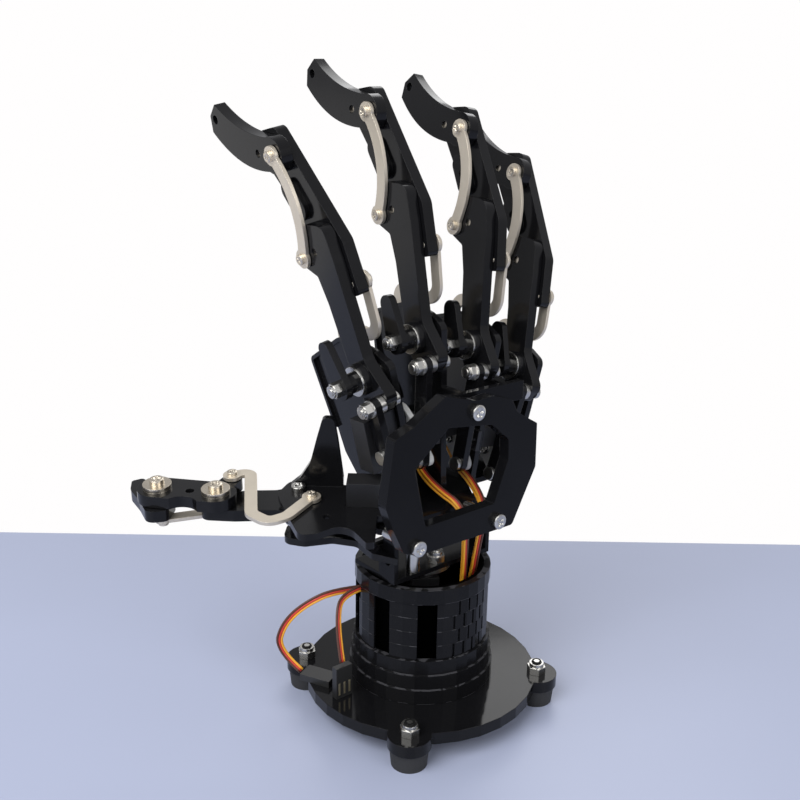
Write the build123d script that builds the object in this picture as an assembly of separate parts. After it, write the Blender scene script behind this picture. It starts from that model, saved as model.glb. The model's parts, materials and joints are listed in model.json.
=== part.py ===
"""Free-standing five-finger robot hand on a round base, in millimetres.

Z is up and the origin is the centre of the base on the floor. The back of the
hand faces -Y, the palm faces +Y, the thumb is on the -X side. Each finger is a
flat mechanism in a plane of its own: p runs to the palm, q runs up the finger
and n runs sideways, from the thumb side to the little side, from the knuckle.
"""
from build123d import *
from math import atan2, cos, degrees, hypot, radians, sin, tan
import os

# Base and drum
disc_d = 100.0
disc_sides = 32
base_t = 5.0
foot_h = 8.0
foot_top_d = 16.0
foot_bottom_d = 14.4
foot_recess_d = 8.6
foot_recess_depth = 2.0
foot_pocket_d = 7.1
lobe_d = 17.6
foot_pcd = 101.0
ring_t = 6.3
drum_bore_d = 48.8
plain_ring_d = (62.0, 60.4, 58.8)
slotted_ring_d = 57.0
top_ring_d = 57.6
slotted_count = 4
slot_pitch = 40.0
slot_depth = 1.9
slot_w = 8.0
first_slot = -126.0
brick_sector = -86.0
brick_groove_w = 1.0
brick_groove_depth = 0.8
lead_exit_angle = 154.0
lead_exit_w = 11.0

# Sheet and strap stock
plate_t = 5.0
tray_t = 3.0
link_t = 1.5
link_w = 5.0
eye_d = 7.6
rod_t = 3.0
horn_t = 2.3
bracket_t = 2.0
back_t = 5.0

# Clearances
run_gap = 0.05
side_gap = 0.3
thin_gap = 0.1
pocket_gap = 0.3

# Fasteners
hinge_screw_end = 1.0
m3 = 3.0
m3_head_d = 5.8
m3_head_h = 1.8
m2 = 2.0
m2_head_d = 4.2
m2_head_h = 1.3
m3_nut_af = 5.5
m3_nut_h = 3.0
m3_collar_d = 5.0
m3_collar_h = 1.0
m4 = 4.0
m4_head_d = 7.0
m4_head_h = 3.0
m4_nut_af = 7.0
m4_nut_h = 3.2
m4_collar_d = 6.2
m4_collar_h = 1.6
hinge_washer_d = 11.6
hinge_washer_t = 1.8
small_washer_d = 7.0
small_washer_t = 0.6

# Finger servo: a slim case with two ears
servo_l = 22.0
servo_w = 9.0
servo_h = 19.4
servo_ear = 3.2
servo_ear_t = 2.0
servo_ear_drop = 4.3
servo_shaft_in = 5.5
servo_shaft_d = 4.0
servo_boss_d = 8.0
servo_boss_h = 0.8

# Base servo
base_servo_l = 27.0
base_servo_w = 12.0
base_servo_h = 28.0
base_servo_shaft_in = 7.0
base_servo_ear = 3.0
base_servo_ear_t = 2.0
base_servo_ear_drop = 5.0
base_servo_turn = 60.0
yaw_disc_d = 24.0
yaw_disc_t = 2.5
yaw_hub_d = 10.0
base_servo_shaft_d = 6.0

# Finger mechanism, in a finger's own plane at rest
knuckle_to_hinge = (14.8, 48.8)
hinge_to_tip_hinge = (24.8, 37.2)
hinge_to_tail = (-12.8, -13.0)
hinge_to_bump = (6.8, -2.6)
tip_hinge_to_lobe = (-11.3, -0.6)
knuckle_to_anchor = (12.0, -4.0)
anchor_hole_shift = (-0.76, 0.42)
anchor_hole_gap = 1.15
lobe_hole_shift = (0.27, -0.09)
lobe_hole_gap = 0.5
knuckle_to_rod = (-9.8, -8.6)
link_bow = 5.5

# Palm
knuckle_y = 3.8
palm_z = 88.5
palm_t = 2.5
palm_front_y = -14.0
palm_top_z = palm_z + palm_t
back_y = -32.0
back_head_d = 6.2
bridge_x = (-7.0, 36.5)
bridge_y = (-18.5, -15.5)
bridge_z = 136.5
bridge_h = 8.0
wrist_w = 52.0
wrist_y = (-13.0, -3.0)
standoff_d = 5.0

# Leads: flat three-wire servo leads and their plugs
lead_d = 3.0
palm_lead_a_route = [(2.9, 12.4, 114.4), (2.9, 9.0, 103.0), (2.6, -3.5, 96.5), (4.0, -21.0, 92.5),
                     (7.0, -18.5, 71.0), (7.5, -17.0, 52.5)]
palm_lead_b_route = [(25.7, 15.2, 107.0), (25.7, 8.5, 97.5), (22.5, -5.0, 95.0), (15.5, -21.0, 89.5),
                     (13.5, -18.5, 71.0), (13.5, -15.5, 52.5)]
loop_lead_route = [(-17.0, 8.3, 52.5), (-33.0, 16.1, 53.0), (-45.0, 23.0, 47.0), (-52.5, 28.0, 38.0),
                   (-53.0, 33.0, 24.0), (-46.1, 24.6, 15.0)]
plug_lead_route = [(-18.0, 6.0, 55.6), (-33.0, 11.5, 54.5), (-41.0, 6.0, 46.0), (-41.0, 1.6, 28.5)]
plug_size = (8.0, 3.0, 14.0)
standing_plug_at = (-41.0, 1.6)
lying_plug_at = (-42.2, 17.0)
lying_plug_turn = 26.0

# Thumb mechanism, in the thumb's own plane at rest
thumb_knuckle = (-44.5, 26.6, 87.7)
thumb_across = (-0.083, -0.096, 0.992)
thumb_along = (0.651, 0.749, 0.127)
thumb_hinge = (-3.8, 33.0)
thumb_tip_hinge = (-1.0, 57.5)
thumb_tail = (8.0, 28.5)
thumb_bump = (0.2, 33.0)
thumb_lobe = (-7.0, 54.5)
thumb_anchor = (-8.0, -6.2)
thumb_rod = (9.6, -4.2)
thumb_shaft = (-8.0, -26.0)
thumb_lobe_hole = (-20.6, -13.6)
thumb_fin_p = 3.2
thumb_anchor_gap = 0.45
thumb_lobe_gap = 0.25
back_screw_xz = ((-3.0, 137.7), (-30.8, 89.6), (10.9, 89.6))

# Levels across a finger, from the outer face of its proximal plate
middle_n = plate_t + side_gap
rear_n = middle_n + plate_t + side_gap
front_n = -side_gap - link_t
tray_n = rear_n - side_gap - tray_t
horn_n = -horn_t
rod_n = horn_n - 0.2 - rod_t
far_horn_n = tray_n - servo_ear_t + servo_ear_drop + servo_ear_t + servo_boss_h + 0.2
boss_h = 3.0
bearing_t = 1.0
arm_t = 3.0
arm_n = -11.2

# Heights of the stack
plate_z = foot_h
deck_z = plate_z + base_t
drum_top_z = deck_z + ring_t * (len(plain_ring_d) + slotted_count + 1)
wrist_z = drum_top_z + 1.1
servo_deck = 2
servo_deck_top = deck_z + ring_t * (len(plain_ring_d) + servo_deck + 1)
base_servo_top = servo_deck_top + base_servo_ear_t + base_servo_ear_drop


def add(a, b):
    return (a[0] + b[0], a[1] + b[1])


class Finger:
    """A finger's knuckle, its splay and tilt, and the points of its mechanism."""

    def __init__(self, name, x, z, splay, tilt, shaft, drop=0.0):
        self.name = name
        self.splay = splay
        self.knuckle = (x, knuckle_y, z)
        s, t = radians(splay), radians(tilt)
        self.plane = Plane(origin=self.knuckle, x_dir=(sin(s) * sin(t), cos(t), -cos(s) * sin(t)),
                           z_dir=(cos(s), 0, sin(s)))
        self.far_horn = name == "index"
        self.turn = 0
        self.hinge = add(knuckle_to_hinge, (0, -drop))
        self.tip_hinge = add(self.hinge, hinge_to_tip_hinge)
        self.tail = add(self.hinge, hinge_to_tail)
        self.bump = add(self.hinge, hinge_to_bump)
        self.lobe = add(self.tip_hinge, tip_hinge_to_lobe)
        self.anchor = knuckle_to_anchor
        self.rod = knuckle_to_rod
        self.shaft = shaft
        self.crank = add(self.rod, shaft)


fingers = [
    Finger("index", -29.7, 147.1, 12.0, 2.7, (-2.0, -20.0)),
    Finger("middle", -3.0, 159.6, 2.4, -0.8, (2.0, -40.5)),
    Finger("ring", 27.2, 152.2, -7.0, -4.4, (0.0, -40.2)),
    Finger("little", 53.6, 139.1, -12.6, -4.1, (2.0, -38.6), 4.3),
]


def outline(points, radii):
    """A flat face with the given corners, each rounded by its own radius."""
    return make_face(FilletPolyline(*points, radius=radii, close=True))


def slab(face, n0, n1):
    """A face raised from level n0 to level n1."""
    return Pos(0, 0, n0) * extrude(face, n1 - n0)


def rod(at, d, n0, n1):
    """A round bar along n at a point."""
    return Pos(at[0], at[1], n0) * extrude(Circle(d / 2), n1 - n0)


def nut(at, af, h, collar_d, collar_h, bore_d, n0, up):
    """A lock nut, its collar on the side that up points to."""
    hexagon = RegularPolygon(af / 2, 6, major_radius=False)
    body = extrude(hexagon, h) + Pos(0, 0, h) * extrude(Circle(collar_d / 2), collar_h)
    body -= extrude(Circle(bore_d / 2), h + collar_h)
    if up < 0:
        body = Rot(180, 0, 0) * body
    return Pos(at[0], at[1], n0) * body


def strap(points, radii, n0):
    """A flat strap of even width along a bent centre line, with round eyes."""
    band = trace(FilletPolyline(*points, radius=radii), link_w)
    for end in (points[0], points[-1]):
        band += Pos(*end) * Circle(eye_d / 2)
    return slab(band, n0, n0 + link_t)


def bowed_strap(a, b, bow, n0):
    """A strap bent in one arc from a to b."""
    mid = ((a[0] + b[0]) / 2, (a[1] + b[1]) / 2)
    length = hypot(b[0] - a[0], b[1] - a[1])
    out = (-(b[1] - a[1]) / length, (b[0] - a[0]) / length)
    path = ThreePointArc(a, (mid[0] + out[0] * bow, mid[1] + out[1] * bow), b)
    band = trace(path, link_w)
    for end in (a, b):
        band += Pos(*end) * Circle(eye_d / 2)
    return slab(band, n0, n0 + link_t)


def bar_face(a, ra, b, rb):
    """Two rounds joined by their outer tangents."""
    return make_hull((Pos(*a) * Circle(ra)).edges() + (Pos(*b) * Circle(rb)).edges())


def pan_screw(at, n_head, n_end, d=m3, head_d=m3_head_d, head_h=m3_head_h):
    """A pan head screw whose head seats at n_head and whose tip is at n_end."""
    outward = 1 if n_head > n_end else -1
    shank = rod(at, d, min(n_head, n_end), max(n_head, n_end))
    low = n_head if outward > 0 else n_head - head_h
    return shank + rod(at, head_d, low, low + head_h)


def link_screw(at, n_head, n_end):
    """A small pan head screw through a link's eye."""
    return pan_screw(at, n_head, n_end, m2, m2_head_d, m2_head_h)


def joined(solids):
    """Separate solids kept together in one node."""
    return Compound(children=[s for s in solids])


# Fingers

def proximal(f):
    """The long knuckle plate, with a boss at the knuckle and a bump at the top."""
    h = f.hinge
    face = outline(
        [(-9.0, -14.0), (2.5, -9.5), (6.8, 1.5), (h[0] - 2.4, h[1] - 20.4),
         (h[0] + 1.2, h[1] - 9.6), (h[0] + 10.6, h[1] - 5.6), (h[0] + 3.6, h[1] + 10.6),
         (h[0] - 8.6, h[1] + 10.4), (h[0] - 11.9, h[1] - 3.8), (-3.6, 7.2), (-14.6, -6.0)],
        [3.0, 4.0, 12.0, 12.0, 1.5, 3.0, 2.0, 5.0, 8.0, 8.0, 4.0])
    body = slab(face, 0, plate_t)
    body += rod((0, 0), 13.0, -boss_h, 0)
    body -= rod((0, 0), m3 + 2 * run_gap, -boss_h, plate_t)
    body -= rod(f.rod, m3 + 2 * run_gap, 0, plate_t)
    body -= rod(h, m3 + 2 * run_gap, 0, plate_t)
    body -= rod(f.bump, m2 + 2 * run_gap, 0, plate_t)
    return body


def middle(f):
    """The bent middle plate with its tail, its pad and its two hinge screws."""
    h, t = f.hinge, f.tip_hinge
    face = outline(
        [(t[0] - 7.2, t[1] + 8.8), (t[0] + 4.4, t[1] + 7.4), (t[0] + 6.2, t[1] - 2.5),
         (h[0] + 18.6, h[1] + 19.5), (h[0] + 8.0, h[1] + 1.0), (h[0] + 1.0, h[1] - 8.0),
         (h[0] - 9.8, h[1] - 18.0), (h[0] - 16.6, h[1] - 17.0), (h[0] - 15.4, h[1] - 12.0),
         (h[0] - 12.2, h[1] + 3.7)],
        [4.0, 4.0, 4.0, 8.0, 6.0, 6.0, 3.0, 2.0, 3.0, 6.0])
    body = slab(face, middle_n, middle_n + plate_t)
    for at in (h, t):
        body -= rod(at, m3, middle_n, middle_n + plate_t)
    body -= rod(f.tail, m2 + 2 * run_gap, middle_n, middle_n + plate_t)
    ux, uy = hinge_to_tip_hinge
    span = hypot(ux, uy)
    pad_at = (h[0] + ux * 0.5, h[1] + uy * 0.5)
    pad = Pos(*pad_at) * Rot(0, 0, degrees(atan2(uy, ux))) * SlotOverall(span - 27.0, 8.4)
    body += slab(pad, middle_n - 2.0, middle_n)
    body -= rod(pad_at, m3 + 0.4, middle_n - 2.0, middle_n + plate_t)
    return body


def hinge_screws(a, b):
    """Two hinge screws with wide washers, seated in the middle plate."""
    top = middle_n + plate_t
    out = []
    for at in (a, b):
        washer = rod(at, hinge_washer_d, top, top + hinge_washer_t)
        washer -= rod(at, m3, top, top + hinge_washer_t)
        out += [washer, pan_screw(at, top + hinge_washer_t, hinge_screw_end)]
    return out


def distal(f):
    """The claw-shaped fingertip plate."""
    t = f.tip_hinge
    tip = add(t, (27.0, 13.4))
    upper = Spline(add(t, (25.2, 19.2)), add(t, (8.6, 9.6)), add(t, (-7.9, 6.0)))
    lower = Spline(add(t, (31.2, 8.6)), add(t, (13.4, -3.4)), add(t, (-6.0, -7.0)))
    nose = Polyline(add(t, (25.2, 19.2)), add(t, (30.4, 15.0)), add(t, (31.2, 8.6)))
    back = ThreePointArc(add(t, (-7.9, 6.0)), add(t, (-16.4, -1.4)), add(t, (-6.0, -7.0)))
    face = make_face([upper, lower, nose, back])
    body = slab(face, 0, plate_t)
    body -= rod(tip, 3.6, 0, plate_t)
    body -= rod(t, m3 + 2 * run_gap, 0, plate_t)
    body -= rod(add(f.lobe, lobe_hole_shift), m2 + 2 * lobe_hole_gap, 0, plate_t)
    return body


def rear_link(f):
    """The bent strap from the fixed anchor to the tail of the middle plate."""
    a, t = f.anchor, f.tail
    points = [t, (a[0] - 12.5, a[1] + 16.5), (a[0] + 13.0, a[1] + 19.5),
              (a[0] + 12.5, a[1]), a]
    link = strap(points, [6.0, 5.0, 5.0], rear_n)
    link -= rod(t, m2, rear_n, rear_n + link_t)
    link -= rod(a, m2, rear_n, rear_n + link_t)
    outer = rear_n + link_t
    return joined([link, link_screw(t, outer, middle_n), link_screw(a, outer, tray_n)])


def front_link(f):
    """The arc strap from the bump of the knuckle plate to the fingertip lobe."""
    link = bowed_strap(f.bump, f.lobe, link_bow, front_n)
    screws = []
    for at in (f.bump, f.lobe):
        link -= rod(at, m2, front_n, front_n + link_t)
        screws.append(link_screw(at, front_n, plate_t))
    return joined([link] + screws)


def push_rod(f):
    """The flat rod from the servo horn to the knuckle plate, with its bolts."""
    a, b = f.rod, f.crank
    bar = slab(bar_face(a, 3.4, b, 3.4), rod_n, rod_n + rod_t)
    bar -= rod(a, m3, rod_n, rod_n + rod_t)
    bar -= rod(b, m3, rod_n, rod_n + rod_t)
    washer_n = rod_n - small_washer_t
    bolt = pan_screw(a, plate_t + thin_gap, washer_n - m3_nut_h - m3_collar_h - 0.4)
    washer = rod(a, small_washer_d, washer_n, rod_n) - rod(a, m3, washer_n, rod_n)
    lock = nut(a, m3_nut_af, m3_nut_h, m3_collar_d, m3_collar_h, m3, washer_n, -1)
    spacer = rod(a, small_washer_d, rod_n + rod_t, -thin_gap)
    spacer -= rod(a, m3, rod_n + rod_t, 0)
    pin = pan_screw(b, rod_n, horn_top(f))
    pieces = [bar, bolt, washer, lock, spacer, pin]
    if f.far_horn:
        sleeve = rod(b, m3_collar_d, rod_n + rod_t, horn_top(f) - horn_t - thin_gap)
        pieces.append(sleeve - rod(b, m3, rod_n + rod_t, horn_top(f)))
    return joined(pieces)


def horn_top(f):
    """The outer level of the servo horn."""
    return far_horn_n + horn_t if f.far_horn else 0.0


def horn(f):
    """The servo horn: a round hub with one arm, level with the servo's shaft."""
    n0 = horn_top(f) - horn_t
    body = slab(bar_face(f.shaft, 4.5, f.crank, 3.2), n0, n0 + horn_t)
    body -= rod(f.crank, m3 + 2 * run_gap, n0, n0 + horn_t)
    body -= rod(f.shaft, servo_shaft_d + 2 * run_gap, n0, n0 + horn_t)
    cap = horn_top(f) if f.far_horn else n0
    out = 1 if f.far_horn else -1
    return body + pan_head(f.shaft, cap, out)


def pan_head(at, n0, out):
    """The head of a screw standing on a level."""
    low = n0 if out > 0 else n0 - m3_head_h * 0.6
    return rod(at, m3_head_d, low, low + m3_head_h * 0.6)


def servo_case(turn, flip):
    """A slim servo case with ears, its shaft on the origin, pointing down."""
    mid = servo_l / 2 - servo_shaft_in
    body = Pos(mid, 0, 0) * extrude(Rectangle(servo_l, servo_w), servo_h)
    ears = Pos(mid, 0, servo_ear_drop) * extrude(
        Rectangle(servo_l + 2 * servo_ear, servo_w), servo_ear_t)
    reach = servo_l / 2 + servo_ear / 2
    for x in (mid - reach, mid + reach):
        ears -= Pos(x, 0, servo_ear_drop) * extrude(Circle(0.9), servo_ear_t)
    body += ears
    body += Pos(0, 0, -servo_boss_h) * extrude(Circle(servo_boss_d / 2), servo_boss_h)
    low = -servo_boss_h - 0.2 - horn_t
    body += Pos(0, 0, low) * extrude(Circle(servo_shaft_d / 2), -low)
    if flip:
        body = Rot(180, 0, 0) * body
    return Rot(0, 0, turn) * body


def servo(f):
    """The finger's servo, its ears against the inner face of the bracket wall."""
    near = servo_boss_h + 0.2
    if f.far_horn:
        place = Pos(f.shaft[0], f.shaft[1], far_horn_n - near)
        return place * servo_case(-90, True)
    return Pos(f.shaft[0], f.shaft[1], near) * servo_case(f.turn, False)


def servo_pocket(f, n0, n1):
    """The opening in a plate that the servo case passes through."""
    mid = servo_l / 2 - servo_shaft_in
    face = Pos(mid, 0) * Rectangle(servo_l + 2 * pocket_gap, servo_w + 2 * pocket_gap)
    turn = -90 if f.far_horn else f.turn
    return Pos(f.shaft[0], f.shaft[1], 0) * Rot(0, 0, turn) * slab(face, n0, n1)


# Palm

def tray(f):
    """The knuckle bracket: a rimmed wall beside the finger, down to the palm plate."""
    floor_q = (palm_top_z - f.knuckle[2]) / cos(radians(f.splay)) - 8.0
    if f.far_horn:
        corners = [(-8.6, 4.0), (0.0, 8.0), (20.0, 12.0), (45.0, -1.0), (38.0, -32.0),
                   (36.0, -44.0), (24.0, floor_q), (-8.6, floor_q)]
        radii = [4.0, 8.0, 6.0, 3.0, 16.0, 4.0, 1.0, 1.0]
    else:
        corners = [(-7.0, 5.0), (1.0, 8.5), (15.0, 11.0), (37.0, 3.5), (34.0, -16.0),
                   (20.5, -30.0), (20.5, floor_q), (-7.0, floor_q)]
        radii = [4.0, 8.0, 3.0, 3.0, 10.0, 8.0, 1.0, 1.0]
    face = outline(corners, radii)
    body = slab(face, tray_n, tray_n + tray_t)
    lip = (face - offset(face, -1.6, kind=Kind.INTERSECTION)) & Pos(32, -9) * Rectangle(34, 46)
    body += slab(lip, tray_n - 1.6, tray_n)
    body -= rod((0, 0), m3, tray_n - 2, tray_n + tray_t)
    hole_at = add(f.anchor, anchor_hole_shift)
    body -= rod(hole_at, m2 + 2 * anchor_hole_gap, tray_n, tray_n + tray_t)
    return body - servo_pocket(f, tray_n, tray_n + tray_t)


def above(body, z):
    """What is left of a body over a level."""
    return body & Pos(0, 0, z + 150) * Box(400, 400, 300)


def bridge_tab(f):
    """The tab of a bracket that reaches out to the bridge bar."""
    y0 = bridge_y[1]
    q = (bridge_z - f.knuckle[2]) / cos(radians(f.splay))
    low = y0 - knuckle_y - 3.0
    face = Pos((low - 6.0) / 2, q) * Rectangle(-6.0 - low, 5.0)
    return slab(face, tray_n, tray_n + tray_t)


def bridge():
    """The bar across two brackets that carries the top of the back plate."""
    half = bridge_h / 2
    return box((bridge_x[0], bridge_y[0], bridge_z - half), (bridge_x[1], bridge_y[1], bridge_z + half))


def box(low, high):
    """A block between two corners."""
    size = [b - a for a, b in zip(low, high)]
    middle_point = [(a + b) / 2 for a, b in zip(low, high)]
    return Pos(*middle_point) * Box(*size)


def knuckle_arm(f):
    """The outer arm clamped on the knuckle bolt, with its collar."""
    face = bar_face((0, 0), 5.0, (5.0, 14.5), 3.4)
    body = slab(face, arm_n, arm_n + arm_t)
    body += rod((0, 0), 8.0, arm_n + arm_t, -boss_h - bearing_t - thin_gap)
    return body - rod((0, 0), m3, arm_n, 0)


def knuckle_bolt(f):
    """The knuckle bolt with its lock nut, bearing rim and inner washer."""
    bolt = pan_screw((0, 0), tray_n + tray_t, arm_n - m3_nut_h - m3_collar_h - 0.4)
    lock = nut((0, 0), m3_nut_af, m3_nut_h, m3_collar_d, m3_collar_h, m3, arm_n, -1)
    n0 = -boss_h - bearing_t - thin_gap
    rim = rod((0, 0), 12.0, n0, n0 + bearing_t) - rod((0, 0), m3, n0, n0 + bearing_t)
    n1 = plate_t + thin_gap
    washer = rod((0, 0), 8.0, n1, tray_n) - rod((0, 0), m3, n1, tray_n)
    return [bolt, lock, rim, washer]


# Thumb

class Thumb:
    """The thumb's plane and the points of its mechanism."""

    def __init__(self):
        self.name = "thumb"
        self.plane = Plane(origin=thumb_knuckle, x_dir=thumb_along, z_dir=thumb_across)
        self.far_horn = False
        self.turn = -90
        self.hinge = thumb_hinge
        self.tip_hinge = thumb_tip_hinge
        self.tail = thumb_tail
        self.bump = thumb_bump
        self.lobe = thumb_lobe
        self.anchor = thumb_anchor
        self.rod = thumb_rod
        self.shaft = thumb_shaft
        self.crank = add(self.rod, thumb_shaft)


def thumb_proximal(f):
    """The thumb's knuckle block: a straight thick plate with a boss."""
    h = f.hinge
    face = outline(
        [(-7.5, -7.0), (4.0, -7.5), (13.5, -8.5), (13.0, 2.0), (8.5, 10.0), (7.5, 22.0),
         (h[0] + 8.6, h[1] + 1.0), (h[0] + 4.5, h[1] + 6.0), (h[0] - 5.0, h[1] + 6.0),
         (h[0] - 5.5, h[1] - 8.0), (-8.0, 12.0)],
        [4.0, 3.0, 3.5, 4.0, 6.0, 8.0, 3.0, 2.5, 4.0, 8.0, 8.0])
    body = slab(face, 0, plate_t)
    body += rod((0, 0), 13.0, -boss_h, 0)
    body -= rod((0, 0), m3 + 2 * run_gap, -boss_h, plate_t)
    for at in (f.rod, h):
        body -= rod(at, m3 + 2 * run_gap, 0, plate_t)
    return body - rod(f.bump, m2 + 2 * run_gap, 0, plate_t)


def thumb_middle(f):
    """The dog-bone plate between the thumb's two upper hinges, with its tail."""
    h, t = f.hinge, f.tip_hinge
    face = bar_face(h, 8.2, t, 8.2)
    face -= Pos(-15.5, 45.5) * Circle(7.5)
    face += bar_face(h, 4.5, f.tail, 4.0)
    body = slab(face, middle_n, middle_n + plate_t)
    hole = ((h[0] + t[0]) / 2 - 1.0, (h[1] + t[1]) / 2 - 1.6)
    body -= rod(hole, 3.6, middle_n, middle_n + plate_t)
    for at in (h, t):
        body -= rod(at, m3, middle_n, middle_n + plate_t)
    return body - rod(f.tail, m2 + 2 * run_gap, middle_n, middle_n + plate_t)


def thumb_tip(f):
    """The thumb's short claw, bent away from the back of the hand."""
    t = f.tip_hinge
    face = outline(
        [add(t, (-9.6, -6.0)), add(t, (1.0, -7.0)), add(t, (9.0, 2.0)), add(t, (16.5, 11.0)),
         add(t, (14.0, 15.0)), add(t, (6.5, 13.5)), add(t, (-2.0, 7.4)), add(t, (-11.5, 2.0))],
        [3.0, 5.0, 8.0, 1.5, 1.5, 8.0, 6.0, 4.0])
    body = slab(face, 0, plate_t)
    body -= rod(t, m3 + 2 * run_gap, 0, plate_t)
    return body - rod(f.lobe, m2 + 2 * thumb_lobe_gap, 0, plate_t)


def thumb_rear_link(f):
    """The S-shaped strap from the thumb's fixed anchor to its tail."""
    a, t = f.anchor, f.tail
    points = [t, (t[0] + 4.0, t[1] - 7.0), (-22.0, t[1] - 13.0), (-27.5, 8.0), (-23.0, 1.5), a]
    link = strap(points, [3.0, 5.0, 4.5, 6.0], rear_n)
    link -= rod(t, m2, rear_n, rear_n + link_t)
    link -= rod(a, m2, rear_n, rear_n + link_t)
    outer = rear_n + link_t
    return joined([link, link_screw(t, outer, middle_n), link_screw(a, outer, tray_n)])


def thumb_front_link(f):
    """The straight strap under the thumb, from its knuckle block to its claw."""
    path = Line(f.bump, f.lobe)
    band = trace(path, link_w)
    screws = []
    for at in (f.bump, f.lobe):
        band += Pos(*at) * Circle(3.2)
    link = slab(band, front_n, front_n + link_t)
    for at in (f.bump, f.lobe):
        link -= rod(at, m2, front_n, front_n + link_t)
        screws.append(link_screw(at, front_n, plate_t))
    return joined([link] + screws)


def thumb_bracket(f):
    """The thumb's upper plate with its lobe and fin, and its lower plate at the wrist."""
    upper = outline(
        [(-3.0, 8.0), (8.0, 4.0), (6.0, -14.0), (2.0, -30.0), (-2.0, -38.0), (-3.0, -45.0),
         (-14.0, -45.0), (-19.0, -36.0), (-18.0, -14.0), (-13.0, 5.0)],
        [3.0, 5.0, 8.0, 5.0, 3.0, 1.0, 1.0, 5.0, 10.0, 5.0])
    lobe = outline(
        [(-4.5, 8.0), (-10.0, -33.0), (-38.0, -33.0), (-38.5, -30.0), (-30.0, -24.5),
         (-26.8, -18.8), (-33.0, -11.0), (-34.6, -4.6), (-22.0, 1.0)],
        [3.0, 2.0, 0.8, 0.8, 6.0, 6.0, 4.0, 4.0, 8.0])
    top = above(f.plane * slab(upper, tray_n, tray_n + tray_t), palm_top_z)
    top += f.plane * slab(lobe, tray_n, tray_n + tray_t)
    for at in ((-15.3, -32.0), (-0.8, -32.0)):
        top += above(f.plane * rod(at, 5.0, 0, tray_n), palm_top_z)
    top += f.plane * thumb_fin()
    top -= f.plane * rod((0, 0), m3, tray_n, tray_n + tray_t)
    hole_d = m2 + 2 * thumb_anchor_gap
    top -= f.plane * rod(f.anchor, hole_d, tray_n, tray_n + tray_t)
    top -= f.plane * rod(thumb_lobe_hole, m3, tray_n, tray_n + tray_t)
    top -= f.plane * servo_pocket(f, tray_n, tray_n + tray_t)
    lower = outline(
        [(5.5, 5.5), (5.5, -5.5), (-1.0, -7.0), (0.5, -14.0), (6.0, -20.0), (4.0, -30.0),
         (-6.0, -45.0), (-6.0, -60.0), (-24.0, -60.0), (-21.0, -42.0), (-17.0, -31.0),
         (-8.0, -24.0), (-6.0, -14.0), (-9.0, -3.0), (-7.0, 6.0)],
        [5.0, 4.0, 1.5, 2.0, 3.0, 5.0, 5.0, 1.0, 1.0, 3.0, 3.0, 4.0, 4.0, 3.0, 4.0])
    low = slab(lower, arm_n, arm_n + arm_t)
    low += rod((0, 0), 8.0, arm_n + arm_t, -boss_h - bearing_t - thin_gap)
    low -= rod((0, 0), m3, arm_n, 0)
    low = f.plane * low & box((-200, -200, 0), (-wrist_w / 2, 200, 200))
    return joined([top, low])


def thumb_fin():
    """The upright fin on the thumb's upper plate, towards the index bracket."""
    face = outline(
        [(4.2, tray_n + 0.5), (3.6, 10.6), (-0.3, 14.0), (-4.6, 21.0), (-7.3, 31.5), (-10.0, 41.0),
         (-14.5, 41.0), (-16.0, 31.0), (-18.0, 14.0), (-18.0, tray_n + 0.5)],
        [0.4, 0.8, 6.0, 12.0, 12.0, 2.0, 2.0, 10.0, 2.0, 0.4])
    place = Plane(origin=(thumb_fin_p, 0, 0), x_dir=(0, 1, 0), z_dir=(1, 0, 0))
    return place * extrude(face, tray_t)


# Palm, wrist and back plate

def palm_plate(thumb):
    """The flat plate across the wrist that the brackets stand on."""
    face = outline(
        [(-34.0, palm_front_y), (16.0, palm_front_y), (28.0, 4.2), (54.0, 4.2), (54.0, 25.0),
         (-20.0, 28.0), (-24.0, 12.0), (-34.0, 6.0)],
        [3.0, 6.0, 6.0, 2.0, 4.0, 4.0, 6.0, 3.0])
    body = slab(face, palm_z, palm_top_z)
    return body - thumb.plane * servo_pocket(thumb, -8, 14)


def wrist_bracket(thumb):
    """The bent strap over the turntable disc, with two walls up to the palm plate."""
    half = wrist_w / 2
    body = box((-half, wrist_y[0], wrist_z), (half, 13.0, wrist_z + bracket_t))
    for x in (-half, half - bracket_t):
        body += box((x, wrist_y[0], wrist_z), (x + bracket_t, wrist_y[1], palm_z))
    body -= Pos(-half, -8.6, 73.7) * Rot(0, 90, 0) * extrude(Circle(2.0), bracket_t)
    return body - thumb.plane * servo_pocket(thumb, -8, 14)


def yaw_horn():
    """The aluminium disc on the base servo's shaft."""
    low = wrist_z - yaw_disc_t
    body = Pos(0, 0, low) * extrude(Circle(yaw_disc_d / 2), yaw_disc_t)
    hub_low = base_servo_top + servo_boss_h + 0.3
    body += Pos(0, 0, hub_low) * extrude(Circle(yaw_hub_d / 2), low - hub_low)
    return body - Pos(0, 0, hub_low) * extrude(
        Circle(base_servo_shaft_d / 2 + run_gap), wrist_z - yaw_disc_t - hub_low)


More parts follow.
